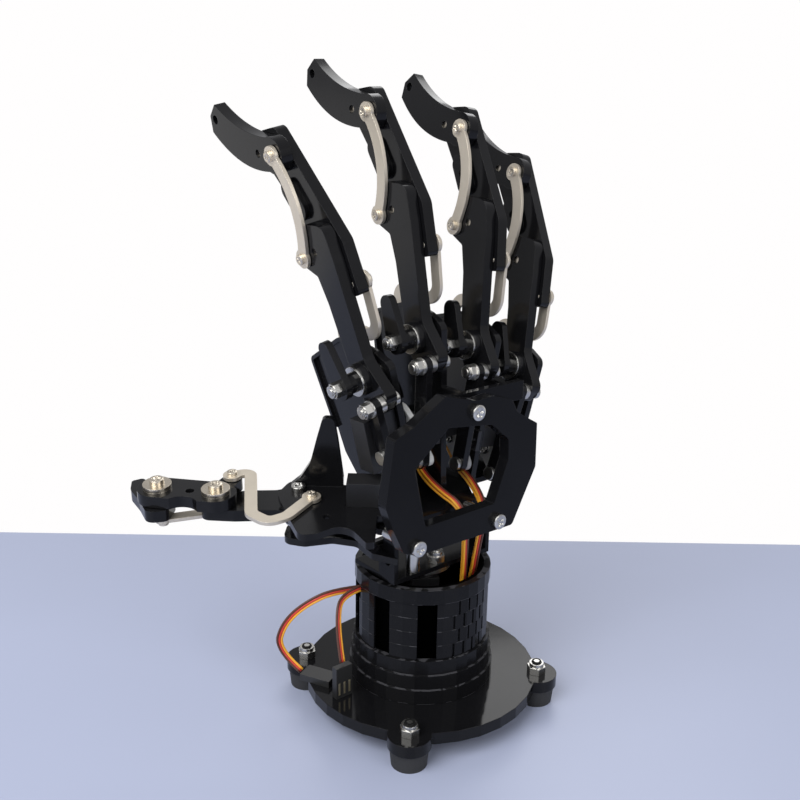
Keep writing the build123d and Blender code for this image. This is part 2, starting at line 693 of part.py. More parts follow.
def back_plate():
    """The big frame behind the hand, with its window and scooped corners."""
    outer = outline(
        [(-42.0, 134.3), (-33.5, 137.5), (-18.5, 146.5), (-3.2, 142.0), (6.0, 142.4),
         (16.2, 139.2), (19.6, 133.5), (26.0, 129.6), (31.2, 126.7), (31.7, 108.1),
         (19.7, 85.5), (-30.0, 86.1), (-37.0, 88.9), (-42.3, 99.7), (-45.8, 109.1)],
        [1.0, 5.0, 2.0, 6.0, 4.0, 2.0, 3.0, 3.0, 1.0, 2.0, 2.0, 3.0, 2.0, 2.0, 3.0])
    window = outline(
        [(-16.5, 133.9), (5.9, 130.9), (15.3, 123.1), (15.8, 114.7), (8.9, 97.3),
         (-26.8, 96.9), (-32.7, 121.3)],
        [2.0, 4.0, 2.0, 2.0, 1.0, 1.0, 2.0])
    place = Plane(origin=(0, back_y, 0), x_dir=(1, 0, 0), z_dir=(0, -1, 0))
    body = place * slab(outer - window, -back_t, 0)
    for x, z in back_screw_xz:
        body -= along_y((x, z), m3, back_y, back_y + back_t)
    return body


def along_y(xz, d, y0, y1):
    """A round bar running along Y."""
    return Pos(xz[0], y0, xz[1]) * Rot(-90, 0, 0) * extrude(Circle(d / 2), y1 - y0)


def back_posts():
    """The three standoffs behind the back plate."""
    inner = back_y + back_t
    ends = (bridge_y[0], palm_front_y, palm_front_y)
    out = []
    for xz, y1 in zip(back_screw_xz, ends):
        post = along_y(xz, standoff_d, inner, y1)
        out.append(post - along_y(xz, m3, inner, inner + 8.0))
    return out


def back_screws():
    """The pan head screws in the back plate."""
    out = []
    for xz in back_screw_xz:
        head = along_y(xz, back_head_d, back_y - m3_head_h, back_y)
        out.append(head + along_y(xz, m3, back_y, back_y + back_t + 7.0))
    return out


def wrist_posts():
    """The bright standoff and lock nut on the wrist strap."""
    z = wrist_z + bracket_t
    post = Pos(-14.0, -10.0, z) * extrude(Circle(3.0), 9.0)
    lock = nut((0, 0), m4_nut_af, m4_nut_h, m4_collar_d, m4_collar_h, m4, 0, 1)
    lock += rod((0, 0), m4, 0, m4_nut_h + m4_collar_h + 0.6)
    return [post, Pos(-1.0, -9.0, z) * lock]


# Base

def polygon_disc(d, z0, z1):
    """A many-sided disc."""
    return Pos(0, 0, z0) * extrude(RegularPolygon(d / 2, disc_sides), z1 - z0)


def base_plate():
    """The round base with four lobes, drilled for the feet."""
    body = polygon_disc(disc_d, plate_z, deck_z)
    for at in foot_places():
        body += Pos(at[0], at[1], plate_z) * extrude(Circle(lobe_d / 2), base_t)
    for at in foot_places():
        body -= Pos(at[0], at[1], plate_z) * extrude(Circle(m4 / 2), base_t)
    return body


def foot_places():
    """The four foot axes, on the diagonals."""
    r = foot_pcd / 2
    return [(r * cos(radians(a)), r * sin(radians(a))) for a in (45, 135, 225, 315)]


def rubber_feet():
    """Four tapered rubber feet with blind recesses for the screw heads."""
    out = []
    for at in foot_places():
        foot = Pos(at[0], at[1], foot_h / 2) * Cone(foot_bottom_d / 2, foot_top_d / 2, foot_h)
        foot -= Pos(at[0], at[1], 0) * extrude(Circle(foot_recess_d / 2), foot_recess_depth)
        foot -= Pos(at[0], at[1], 0) * extrude(Circle(m4 / 2), foot_h)
        foot -= Pos(at[0], at[1], 0) * extrude(
            Circle(foot_pocket_d / 2), foot_recess_depth + m4_head_h)
        out.append(foot)
    return out


def foot_bolts():
    """The foot screws with their lock nuts on the base plate."""
    out = []
    for x, y in foot_places():
        tip = deck_z + m4_nut_h + m4_collar_h + 0.6
        low = foot_recess_depth
        screw = Pos(x, y, low) * extrude(Circle(m4 / 2), tip - low)
        screw += Pos(x, y, low) * extrude(Circle(m4_head_d / 2), m4_head_h)
        lock = nut((0, 0), m4_nut_af, m4_nut_h, m4_collar_d, m4_collar_h, m4, 0, 1)
        out += [screw, Pos(x, y, deck_z) * lock]
    return out


def plain_rings():
    """The three plain lower rings, each a little smaller, and the hollow top ring."""
    out = []
    for i, d in enumerate(plain_ring_d):
        z = deck_z + i * ring_t
        out.append(polygon_disc(d, z, z + ring_t) - bore(z))
    z = drum_top_z - ring_t
    out.append(polygon_disc(top_ring_d, z, drum_top_z) - bore(z))
    return out


def bore(z, d=drum_bore_d):
    return Pos(0, 0, z) * extrude(Circle(d / 2), ring_t)


def servo_opening(z):
    """The opening in the servo's ring that its case passes through."""
    half = base_servo_w / 2 + pocket_gap
    near = -base_servo_shaft_in - pocket_gap
    far = base_servo_l - base_servo_shaft_in + pocket_gap
    return Rot(0, 0, base_servo_turn) * box((near, -half, z), (far, half, z + ring_t))


def rim_cut(angle, depth, width, z):
    """A cut of even width across a ring's rim."""
    radius = slotted_ring_d / 2
    cut = box((radius - depth, -width / 2, z), (radius + 2, width / 2, z + ring_t))
    return Rot(0, 0, angle) * cut


def slotted_ring(level):
    """A ring with upright slots all round and a brick pattern in one sector."""
    z = deck_z + (len(plain_ring_d) + level) * ring_t
    ring = polygon_disc(slotted_ring_d, z, z + ring_t)
    ring -= servo_opening(z) if level == servo_deck else bore(z)
    for i in range(9):
        angle = first_slot + i * slot_pitch
        if abs(angle - brick_sector) > 1:
            ring -= rim_cut(angle, slot_depth, slot_w, z)
    shift = 5.0 if level % 2 else 0.0
    for offset_angle in (-17.0, -7.0, 3.0, 13.0):
        angle = brick_sector + offset_angle + shift
        ring -= rim_cut(angle, brick_groove_depth, brick_groove_w, z)
    if level == servo_deck + 1:
        exit_cut = box((20, -lead_exit_w / 2, z), (40, lead_exit_w / 2, z + ring_t))
        ring -= Rot(0, 0, lead_exit_angle) * exit_cut
    return ring


def base_servo():
    """The turntable servo, hung by its ears in the drum."""
    far = base_servo_l - base_servo_shaft_in
    body = box((-base_servo_shaft_in, -base_servo_w / 2, base_servo_top - base_servo_h),
               (far, base_servo_w / 2, base_servo_top))
    ear_z = servo_deck_top
    body += box((-base_servo_shaft_in - base_servo_ear, -base_servo_w / 2, ear_z),
                (far + base_servo_ear, base_servo_w / 2, ear_z + base_servo_ear_t))
    body += Pos(0, 0, base_servo_top) * extrude(Circle(yaw_hub_d / 2 + 1), servo_boss_h)
    top = wrist_z - yaw_disc_t - 0.2
    body += Pos(0, 0, base_servo_top) * extrude(Circle(base_servo_shaft_d / 2), top - base_servo_top)
    return Rot(0, 0, base_servo_turn) * body


# Leads

def lead(points, radii, d):
    """A round lead along straight runs and tangent arcs."""
    path = FilletPolyline(*points, radius=radii)
    start = Plane(origin=path @ 0, z_dir=path % 0)
    return sweep(start * Circle(d / 2), path)


def plugs():
    """The black plugs: one standing on the base plate, one lying on it."""
    long, thick, tall = plug_size
    x, y = standing_plug_at
    standing = box((x - long / 2, y - thick / 2, deck_z), (x + long / 2, y + thick / 2, deck_z + tall))
    lying = box((-long / 2, -tall / 2, 0), (long / 2, tall / 2, thick))
    x, y = lying_plug_at
    return [standing, Pos(x, y, deck_z) * Rot(0, 0, lying_plug_turn) * lying]


def bend_radii(points):
    """Bend radii for a route: each as wide as its neighbouring runs allow."""
    out = []
    for a, b, c in zip(points, points[1:], points[2:]):
        v1 = Vector(*b) - Vector(*a)
        v2 = Vector(*c) - Vector(*b)
        turn = radians(v1.get_angle(v2))
        out.append(round(0.45 * min(v1.length, v2.length) / tan(turn / 2), 2))
    return out


if __name__ == "__main__":
    os.makedirs("parts", exist_ok=True)
    thumb = Thumb()
    nodes = {}
    bolts, arms, servos = [], [], []
    for f in fingers:
        n = f.name
        screws = hinge_screws(f.hinge, f.tip_hinge)
        nodes[n + "_proximal"] = f.plane * proximal(f)
        nodes[n + "_middle"] = f.plane * joined([middle(f)] + screws)
        nodes[n + "_distal"] = f.plane * distal(f)
        nodes[n + "_rear_link"] = f.plane * rear_link(f)
        nodes[n + "_front_link"] = f.plane * front_link(f)
        nodes[n + "_push_rod"] = f.plane * push_rod(f)
        nodes[n + "_horn"] = f.plane * horn(f)
        wall = tray(f)
        if f.name in ("middle", "ring"):
            wall += bridge_tab(f)
        wall = f.plane * wall & box((-200, bridge_y[1], palm_top_z), (200, 200, 300))
        nodes[n + "_bracket"] = wall
        servos.append(f.plane * servo(f))
        bolts += [f.plane * b for b in knuckle_bolt(f)]
        arms.append(f.plane * knuckle_arm(f))
    screws = hinge_screws(thumb.hinge, thumb.tip_hinge)
    nodes["thumb_proximal"] = thumb.plane * thumb_proximal(thumb)
    nodes["thumb_middle"] = thumb.plane * joined([thumb_middle(thumb)] + screws)
    nodes["thumb_tip"] = thumb.plane * thumb_tip(thumb)
    nodes["thumb_rear_link"] = thumb.plane * thumb_rear_link(thumb)
    nodes["thumb_front_link"] = thumb.plane * thumb_front_link(thumb)
    nodes["thumb_push_rod"] = thumb.plane * push_rod(thumb)
    nodes["thumb_horn"] = thumb.plane * horn(thumb)
    nodes["thumb_bracket"] = thumb_bracket(thumb)
    servos.append(thumb.plane * servo(thumb))
    bolts += [thumb.plane * b for b in knuckle_bolt(thumb)]
    nodes["finger_servos"] = joined(servos)
    nodes["knuckle_bolts"] = joined(bolts)
    nodes["knuckle_arms"] = joined(arms)
    nodes["palm_frame"] = joined([palm_plate(thumb), bridge()])
    nodes["wrist_bracket"] = wrist_bracket(thumb)
    nodes["yaw_horn"] = yaw_horn()
    nodes["back_plate"] = back_plate()
    nodes["back_screws"] = joined(back_screws())
    nodes["standoffs"] = joined(back_posts() + wrist_posts())
    nodes["base_plate"] = base_plate()
    nodes["rubber_feet"] = joined(rubber_feet())
    nodes["foot_bolts"] = joined(foot_bolts())
    nodes["drum_rings"] = joined(plain_rings())
    nodes["slotted_rings"] = joined([slotted_ring(i) for i in range(slotted_count)])
    nodes["base_servo"] = base_servo()
    routes = {"palm_lead_a": palm_lead_a_route, "palm_lead_b": palm_lead_b_route,
              "loop_lead": loop_lead_route, "plug_lead": plug_lead_route}
    for name, route in routes.items():
        radii = bend_radii(route)
        print(name, "bend radii", radii)
        nodes[name] = lead(route, radii, lead_d)
    nodes["lead_plugs"] = joined(plugs())
    for name, shape in nodes.items():
        export_step(shape, f"parts/{name}.step")
    print(len(nodes), "nodes")
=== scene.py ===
"""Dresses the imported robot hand: finishes, screw heads, servo leads, plugs, camera and stage."""
import bmesh
import bpy
import json
import numpy as np
from mathutils import Matrix, Vector


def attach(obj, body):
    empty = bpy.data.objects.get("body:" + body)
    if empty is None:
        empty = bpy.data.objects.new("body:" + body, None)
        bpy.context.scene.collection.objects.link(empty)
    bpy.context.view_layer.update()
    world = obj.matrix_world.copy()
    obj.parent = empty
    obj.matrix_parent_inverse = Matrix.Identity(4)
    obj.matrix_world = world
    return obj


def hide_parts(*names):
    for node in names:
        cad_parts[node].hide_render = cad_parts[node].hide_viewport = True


bl_info = {
    "name": "Robot hand dressing",
    "version": (1, 0, 0),
    "blender": (4, 5, 0),
    "location": "View3D > Sidebar > Robot Hand",
    "description": "Finishes, fasteners, leads and stage for a linkage robot hand",
    "category": "Object",
}

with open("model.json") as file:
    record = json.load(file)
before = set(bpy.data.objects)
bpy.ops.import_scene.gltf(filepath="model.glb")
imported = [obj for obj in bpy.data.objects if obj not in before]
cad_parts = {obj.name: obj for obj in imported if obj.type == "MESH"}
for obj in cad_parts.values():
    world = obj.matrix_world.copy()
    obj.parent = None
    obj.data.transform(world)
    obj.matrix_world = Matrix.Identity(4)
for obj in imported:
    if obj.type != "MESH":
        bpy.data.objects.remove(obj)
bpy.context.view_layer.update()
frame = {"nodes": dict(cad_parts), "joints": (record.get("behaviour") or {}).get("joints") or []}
JOINTS = {j["name"]: j for j in frame["joints"]}
DIGITS = ("index", "middle", "ring", "little", "thumb")
MM = 0.001

# Finishes: roughness, and how strongly the black sheet reflects
EDGE_RADIUS = 0.3 * MM
DECK_GLOSS, DECK_SHEEN = 0.04, 0.20
PALM_GLOSS, PALM_SHEEN = 0.06, 0.11
DRUM_GLOSS, DRUM_SHEEN = 0.08, 0.14
SHEET_SHEEN = 0.24
ZINC_ROUGH, NICKEL_ROUGH, LAYERED_METAL_ROUGH, HORN_ROUGH = 0.16, 0.24, 0.20, 0.32

# Drum and feet, in millimetres as in the solids
DECK_TOP = 13.0
RING_PITCH = 6.3
# Radii inside which the drum's cuts are given painted shade
PLAIN_RIM, SLOTTED_RIM = 26.0, 27.4
FOOT_BOLT = 35.71
# Radii between which the lock nuts' recesses are given painted shade
FOOT_SCREW_RADIUS, FOOT_COLLAR_RADIUS = 1.2, 2.25

# Levels across a digit, in millimetres from its middle: plates between screw heads
MIDDLE_BAND = (3.25, 10.35)
PUSH_ROD_BAND = (-5.52, -2.48)
HORN_BAND, INDEX_HORN_BAND = (-2.32, 0.5), (12.0, 14.95)
STRAP_BANDS = {"rear_link": (10.0, 12.12), "front_link": (-1.82, 0.5)}

# Screw heads, in millimetres: radius, level of the top, and places
HEAD, LINK_HEAD, BACK_HEAD = 2.88, 2.08, 3.08
HINGE_TOP, REAR_TOP, FRONT_TOP, ROD_TOP, KNUCKLE_TOP = 13.9, 13.4, -3.1, 6.9, 12.1
HORN_CAP, INDEX_HORN_CAP = (-3.38, -1), (15.98, 1)
BACK_HEAD_Y = -33.8
BACK_SCREWS = ((-3.0, 137.7), (-30.8, 89.6), (10.9, 89.6))
LOW_CROWN = {"push_rod": 0.4}

# Standing plug's contacts, in millimetres
CONTACT_X = (-43.54, -41.0, -38.46)
CONTACT_HALF_WIDTH = 0.45
CONTACT_Y, CONTACT_Z = (0.02, 0.12), (14.6, 20.0)

# Camera and stage, in metres; the photograph's focal length is in its pixels
PHOTO_FOCAL, PHOTO_WIDTH, SENSOR_WIDTH = 975.58, 800.0, 36.0
CAMERA_AT = (-0.24755, -0.28486, 0.24776)
CAMERA_FORWARD, CAMERA_RIGHT = (0.607, 0.740, -0.289), (0.776, -0.630, 0.015)
FLOOR_REACH = 6.0
FAR_EDGE_WAY, FAR_EDGE = (0.6342, 0.7732, 0.0), 0.157
BACKDROP_WHITE = (1.0, 0.99, 0.99, 1.0)
SKY_COLOUR, SKY_STRENGTH = (0.97, 0.97, 1.0, 1.0), 0.5
LAMPS = (
    ("window_left", (-0.9, -0.15, 0.95), (0.0, 0.0, 0.12), 1.1, 15.0),
    ("front_fill", (0.1, -1.3, 0.7), (0.0, 0.0, 0.12), 0.9, 6.0),
    ("back_edge", (0.9, 0.7, 1.1), (0.0, 0.0, 0.14), 0.8, 4.0),
)


# Shader maths

class Sock:
    """A shader value that can be used in plain arithmetic."""

    def __init__(self, shader, link):
        self.shader = shader
        self.link = link

    def math(self, operation, *values):
        return self.shader.add("ShaderNodeMath", {"operation": operation}, *values)

    def __add__(self, other):
        return self.math("ADD", self, other)

    __radd__ = __add__

    def __sub__(self, other):
        return self.math("SUBTRACT", self, other)

    def __rsub__(self, other):
        return self.math("SUBTRACT", other, self)

    def __mul__(self, other):
        return self.math("MULTIPLY", self, other)

    __rmul__ = __mul__

    def __truediv__(self, other):
        return self.math("DIVIDE", self, other)

    def __rtruediv__(self, other):
        return self.math("DIVIDE", other, self)

    def __gt__(self, other):
        return self.math("GREATER_THAN", self, other)

    def __lt__(self, other):
        return self.math("LESS_THAN", self, other)

    def fraction(self):
        return self.math("FRACT", self)


class Shader:
    """A material's nodes, made one by one."""

    def __init__(self, name):
        self.material = bpy.data.materials.new(name)
        self.material.use_nodes = True
        self.nodes = self.material.node_tree.nodes
        self.links = self.material.node_tree.links
        self.surface = self.nodes["Principled BSDF"]

    def add(self, kind, settings, *values, out=0, **named):
        """Adds a node: its settings, then its sockets' values or links, by place or by name."""
        node = self.nodes.new(kind)
        for key, value in settings.items():
            setattr(node, key, value)
        for place, value in list(enumerate(values)) + list(named.items()):
            key = place.replace("_", " ") if isinstance(place, str) else place
            self.put(node.inputs[key], value)
        return Sock(self, node.outputs[out])

    def put(self, socket, value):
        """Links a value to a socket, or sets it there."""
        if isinstance(value, Sock):
            self.links.new(value.link, socket)
        elif value is not None:
            socket.default_value = value

    def set(self, **named):
        """Sets or links the surface shader's own sockets."""
        for key, value in named.items():
            self.put(self.surface.inputs[key.replace("_", " ")], value)
        return self.material

    def place(self):
        """A point's place in the hand at rest."""
        return self.add("ShaderNodeTexCoord", {}, out="Object")

    def noise(self, scale, detail=3.0, roughness=0.55, at=None):
        """Cloudy values from 0 to 1, finer as the scale grows."""
        at = at or self.place()
        return self.add("ShaderNodeTexNoise", {}, Vector=at, Scale=scale, Detail=detail,
                        Roughness=roughness)

    def grain_along(self, scale, detail=3.0):
        """Noise drawn out into lines by a different scale along each axis."""
        drawn = self.add("ShaderNodeMapping", {}, Vector=self.place(), Scale=scale)
        return self.noise(1.0, detail, 0.6, drawn)

    def flat_length(self, at):
        """A point's distance from the upright axis."""
        flat = self.add("ShaderNodeVectorMath", {"operation": "MULTIPLY"}, at, (1.0, 1.0, 0.0))
        return self.add("ShaderNodeVectorMath", {"operation": "LENGTH"}, flat, out="Value")

    def mix(self, factor, a, b):
        """Blends two colours, which are the node's seventh and eighth sockets."""
        others = (None,) * 5
        return self.add("ShaderNodeMix", {"data_type": "RGBA"}, factor, *others, a, b, out=2)

    def along(self, direction):
        """How far a point lies along a direction."""
        return self.add("ShaderNodeVectorMath", {"operation": "DOT_PRODUCT"}, self.place(),
                        tuple(direction), out="Value")

    def bump(self, height, strength, distance):
        """Relief on a surface whose edges are eased by a small radius."""
        eased = self.add("ShaderNodeBevel", {"samples": 4}, Radius=EDGE_RADIUS)
        return self.add("ShaderNodeBump", {}, Height=height, Strength=strength, Distance=distance,
                        Normal=eased)


def rgb(values, k=1.0):
    """A colour for a socket, made k times as bright."""
    return (values[0] * k, values[1] * k, values[2] * k, 1.0)


# Materials

def sheet_values(s, colour, gloss):
    """Glossy cast sheet: a little dust, faint rub marks and a slight waviness."""
    dust = s.noise(900.0, 6.0, 0.7)
    cloud = s.noise(38.0, 3.0, 0.5)
    scratch = s.grain_along((2500.0, 260.0, 260.0), 4.0)
    rub = (scratch > 0.66) * 0.10
    rough = gloss + cloud * 0.10 + (dust > 0.69) * 0.12 + rub
    tone = s.mix((dust > 0.72) * 0.35 + cloud * 0.15, rgb(colour), rgb((0.03, 0.03, 0.033)))
    return tone, rough, cloud


def black_sheet(name, colour, gloss, sheen=SHEET_SHEEN):
    """Black cut sheet, glossy on its faces."""
    s = Shader(name)
    tone, rough, cloud = sheet_values(s, colour, gloss)
    return s.set(Base_Color=tone, Roughness=rough, Normal=s.bump(cloud, 0.04, 0.0006),
                 Specular_IOR_Level=sheen)


def stacked_sheet(name, colour, rim):
    """Rings of black sheet: painted pale highlights on the joints, cutting marks, and painted shade
    in the cuts inside the rim.
    """
    s = Shader(name)
    tone, rough, cloud = sheet_values(s, colour, DRUM_GLOSS)
    step = ((s.along((0.0, 0.0, 1.0)) - DECK_TOP * MM) / (RING_PITCH * MM)).fraction()
    joint = (step < 0.03) + (step > 0.985)
    inside = s.flat_length(s.place()) < rim * MM
    marks = s.grain_along((1500.0, 1500.0, 40.0))
    # Painted highlight: pale patches on the joints outside the rim, where the ring edges catch
    # light
    wear_and_highlight = joint * (s.noise(240.0, 2.0, 0.5) > 0.5) * (1.0 - inside)
    # Painted shade: inside the rim the cuts are coloured near black, made metallic and rougher,
    # where the deep slots lie in shade
    tone = s.mix(inside, s.mix(wear_and_highlight * 0.45, tone, rgb((0.10, 0.10, 0.11))), rgb(colour, 0.1))
    return s.set(Base_Color=tone, Roughness=rough + marks * 0.08 + joint * 0.2 + inside * 0.6,
                 Metallic=inside, Normal=s.bump(marks * 0.5 - joint, 0.12, 0.0002),
                 Specular_IOR_Level=DRUM_SHEEN)


def metal_values(s, colour, rough):
    """Plated metal with a fine grain."""
    grain = s.noise(1400.0, 4.0, 0.6)
    blotch = s.noise(160.0, 3.0, 0.5)
    tone = s.mix(blotch, rgb(colour, 0.82), rgb(colour, 1.0))
    return tone, rough + grain * 0.10 + blotch * 0.08, grain


def metal(name, colour, rough):
    """Plated or turned metal all over a piece."""
    s = Shader(name)
    tone, roughness, grain = metal_values(s, colour, rough)
    return s.set(Base_Color=tone, Metallic=1.0, Roughness=roughness,
                 Normal=s.bump(grain, 0.05, 0.0001))


def layered(name, across, low, high, inner, steel, gloss):
    """Sheet or plastic between two levels of a digit, and plated metal outside them."""
    s = Shader(name)
    level = s.along(across)
    outside = (level > high) + (level < low)
    tone, rough, cloud = sheet_values(s, inner, gloss)
    shine, metal_rough, grain = metal_values(s, steel, LAYERED_METAL_ROUGH)
    return s.set(Base_Color=s.mix(outside, tone, shine), Metallic=outside,
                 Roughness=rough * (1.0 - outside) + metal_rough * outside,
                 Specular_IOR_Level=SHEET_SHEEN,
                 Normal=s.bump(cloud * (1.0 - outside) + grain * outside, 0.04, 0.0003))


def strap_finish(name, across, low, high, nickel):
    """Satin nickel strap with brush lines, and smoother screw heads outside its two faces."""
    s = Shader(name)
    level = s.along(across)
    heads = (level > high) + (level < low)
    lines = s.grain_along((300.0, 4200.0, 300.0))
    blotch = s.noise(120.0, 3.0, 0.5)
    tone = s.mix(blotch * 0.6 + lines * 0.4, rgb(nickel, 0.80), rgb(nickel, 1.05))
    return s.set(Base_Color=s.mix(heads, tone, rgb(nickel)), Metallic=0.75,
                 Roughness=0.30 + lines * 0.14 + blotch * 0.06 - heads * 0.12,
                 Normal=s.bump(lines * (1.0 - heads), 0.10, 0.0001))


def bolt_ends(name, colour):
    """Plated lock nuts with painted shade in the recess round each screw's end, on the four corners
    of a square.

    The absolute value of a place folds the four corners onto one.
    """
    s = Shader(name)
    tone, roughness, grain = metal_values(s, colour, ZINC_ROUGH)
    corner = (FOOT_BOLT * MM, FOOT_BOLT * MM, 0.0)
    folded = s.add("ShaderNodeVectorMath", {"operation": "ABSOLUTE"}, s.place())
    away = s.add("ShaderNodeVectorMath", {"operation": "SUBTRACT"}, folded, corner)
    radius = s.flat_length(away)
    # Painted shade: a ring between the screw and the collar is coloured near black and made
    # rougher, where the nut's recess lies in shade
    painted_hollow_shade = (radius < FOOT_COLLAR_RADIUS * MM) * (radius > FOOT_SCREW_RADIUS * MM)
    return s.set(Base_Color=s.mix(painted_hollow_shade, tone, rgb((0.03, 0.03, 0.03))), Metallic=1.0,
                 Roughness=roughness + painted_hollow_shade * 0.4, Normal=s.bump(grain, 0.05, 0.0001))


def rubber(name, colour):
    """Matt rubber with a coarse grain and a film of dust."""
    s = Shader(name)
    grain = s.noise(1500.0, 5.0, 0.7)
    dust = s.noise(60.0, 3.0, 0.5)
    tone = s.mix(dust * 0.5, rgb(colour), rgb((0.05, 0.05, 0.052)))
    return s.set(Base_Color=tone, Roughness=0.62 + grain * 0.2, Normal=s.bump(grain, 0.35, 0.0002))


def moulded(name, colour, rough):
    """Moulded plastic with a fine spark texture."""
    s = Shader(name)
    grain = s.noise(2600.0, 2.0, 0.5)
    tone = s.mix(s.noise(90.0) * 0.3, rgb(colour), rgb(colour, 2.0))
    return s.set(Base_Color=tone, Roughness=rough + grain * 0.12, Normal=s.bump(grain, 0.2, 0.0001))


def wire_skin(name, colour):
    """Soft lead insulation, a little dull where it has been handled."""
    s = Shader(name)
    # In the leads this noise is handled wear only, with no painted light
    wear_and_highlight = s.noise(220.0, 3.0, 0.6)
    tone = s.mix(wear_and_highlight * 0.5, rgb(colour), rgb(colour, 0.72))
    return s.set(Base_Color=tone, Roughness=0.34 + wear_and_highlight * 0.16, Normal=s.bump(wear_and_highlight, 0.08, 0.0002))


# Shapes

def surface(name, points, material, smooth=True):
    """A closed mesh from grids, each an array (rows, columns, 3) closed round its columns.

    A grid's first and last rows are single points repeated, so its poles close.
    """
    verts, faces, start = [], [], 0
    for grid in points:
        rows, cols = grid.shape[:2]
        index = start + np.arange(rows * cols).reshape(rows, cols)
        after = np.roll(index, -1, axis=1)
        quads = np.stack([index[:-1], after[:-1], after[1:], index[1:]], axis=-1).reshape(-1, 4)
        verts.append(grid.reshape(-1, 3))
        faces.append(quads)
        start += rows * cols
    mesh = bpy.data.meshes.new(name)
    mesh.from_pydata(np.concatenate(verts).tolist(), [], np.concatenate(faces).tolist())
    piece = bpy.data.objects.new(name, mesh)
    bpy.context.scene.collection.objects.link(piece)
    mesh.materials.append(material)
    bpy.context.view_layer.objects.active = piece
    merge_poles(mesh, smooth)
    return piece


def merge_poles(mesh, smooth):
    """Merges doubled points, such as poles, and turns faces outwards."""
    work = bmesh.new()
    work.from_mesh(mesh)
    bmesh.ops.remove_doubles(work, verts=work.verts, dist=1e-7)
    bmesh.ops.dissolve_degenerate(work, dist=1e-8, edges=work.edges)
    bmesh.ops.recalc_face_normals(work, faces=work.faces)
    work.to_mesh(mesh)
    work.free()
    mesh.polygons.foreach_set("use_smooth", np.full(len(mesh.polygons), smooth))
    mesh.update()


def band(v, half):
    """1 where |v| is under a half width and 0 beyond it, with a soft step: v is in head radii."""
    return 1.0 / (1.0 + np.exp((np.abs(v) - half) / 0.03))


def screw_dome(at, out, across, radius, height):
    """One screw head's crown as a polar grid.

    Its height at (x, y) is height * sqrt(1 - 0.85 r^2 / R^2), less a cross-shaped recess whose
    arms are soft bands |x| < 0.16 R, |y| < 0.58 R and the same turned; the last row comes back
    to the middle just under the crown, inside the head that carries it.
    """
    rings = np.concatenate([np.linspace(0.0, 0.62, 15), np.linspace(0.70, 0.97, 4), [1.0]])
    angles = np.linspace(0.0, 2 * np.pi, 40, endpoint=False) + np.pi / 40
    r, a = np.meshgrid(rings * radius, angles, indexing="ij")
    x, y = r * np.cos(a), r * np.sin(a)
    crown = height * np.sqrt(1.0 - 0.85 * (r / radius) ** 2)
    u, v, wide, long = x / radius, y / radius, 0.16, 0.58
    recess = np.maximum(band(u, wide) * band(v, long), band(v, wide) * band(u, long))
    z = crown - recess * height * 0.92
    under = np.zeros((2,) + z.shape[1:])
    x = np.concatenate([x, x[-1:], 0 * x[:1]])
    y = np.concatenate([y, y[-1:], 0 * y[:1]])
    z = np.concatenate([z, under - 0.15 * MM])
    out = np.asarray(out, float)
    side = np.asarray(across, float)
    other = np.cross(out, side)
    return (np.asarray(at) + x[..., None] * side + y[..., None] * other + z[..., None] * out)


def loft(path, offsets, radius, lean, sides=14):
    """Round tubes side by side along a path of points.

    A tube's ring at a point is point + x * side + y * up + radius * (cos a * side + sin a * up).
    Side starts near the lean direction and turns along the path as little as possible. Offsets
    holds one (x, y) a tube, each a number or one value for every point.
    """
    step = np.gradient(path, axis=0)
    step /= np.linalg.norm(step, axis=1)[:, None]
    side = np.zeros_like(path)
    first = lean - step[0] * np.dot(step[0], lean)
    side[0] = first / np.linalg.norm(first)
    for i in range(1, len(path)):
        v = side[i - 1] - step[i] * np.dot(side[i - 1], step[i])
        side[i] = v / np.linalg.norm(v)
    up = np.cross(step, side)
    a = np.linspace(0.0, 2 * np.pi, sides, endpoint=False)
    ring = np.cos(a)[None, :, None] * side[:, None] + np.sin(a)[None, :, None] * up[:, None]
    grids = []
    for x, y in offsets:
        centre = path + side * np.reshape(x, (-1, 1)) + up * np.reshape(y, (-1, 1))
        body = centre[:, None] + radius * ring
        caps = np.repeat(centre[[0, -1], None], sides, axis=1)
        grids.append(np.concatenate([caps[:1], body, caps[1:]]))
    return grids


def slab_grid(low, high):
    """A box as one closed grid: two square rings between two poles."""
    (x0, y0, z0), (x1, y1, z1) = low, high
    ring = np.array([(x0, y0), (x1, y0), (x1, y1), (x0, y1)])
    pole = np.repeat(ring.mean(axis=0)[None], 4, axis=0)
    levels = np.repeat((z0, z0, z1, z1), 4).reshape(4, 4, 1)
    return np.concatenate([np.stack([pole, ring, ring, pole]), levels], axis=2)


# Screw places of a digit as (p, q) in millimetres: the fingers', and those of the odd digits

FINGER_HINGE_AT, FINGER_ANCHOR_AT, FINGER_LOBE_FROM_TIP = (14.8, 48.8), (12.0, -4.0), (-11.3, -0.6)
HINGE_AT = {"little": (14.8, 44.5), "thumb": (-3.8, 33.0)}
ANCHOR_AT = {"thumb": (-8.0, -6.2)}
LOBE_FROM_TIP = {"thumb": (-6.0, -3.0)}


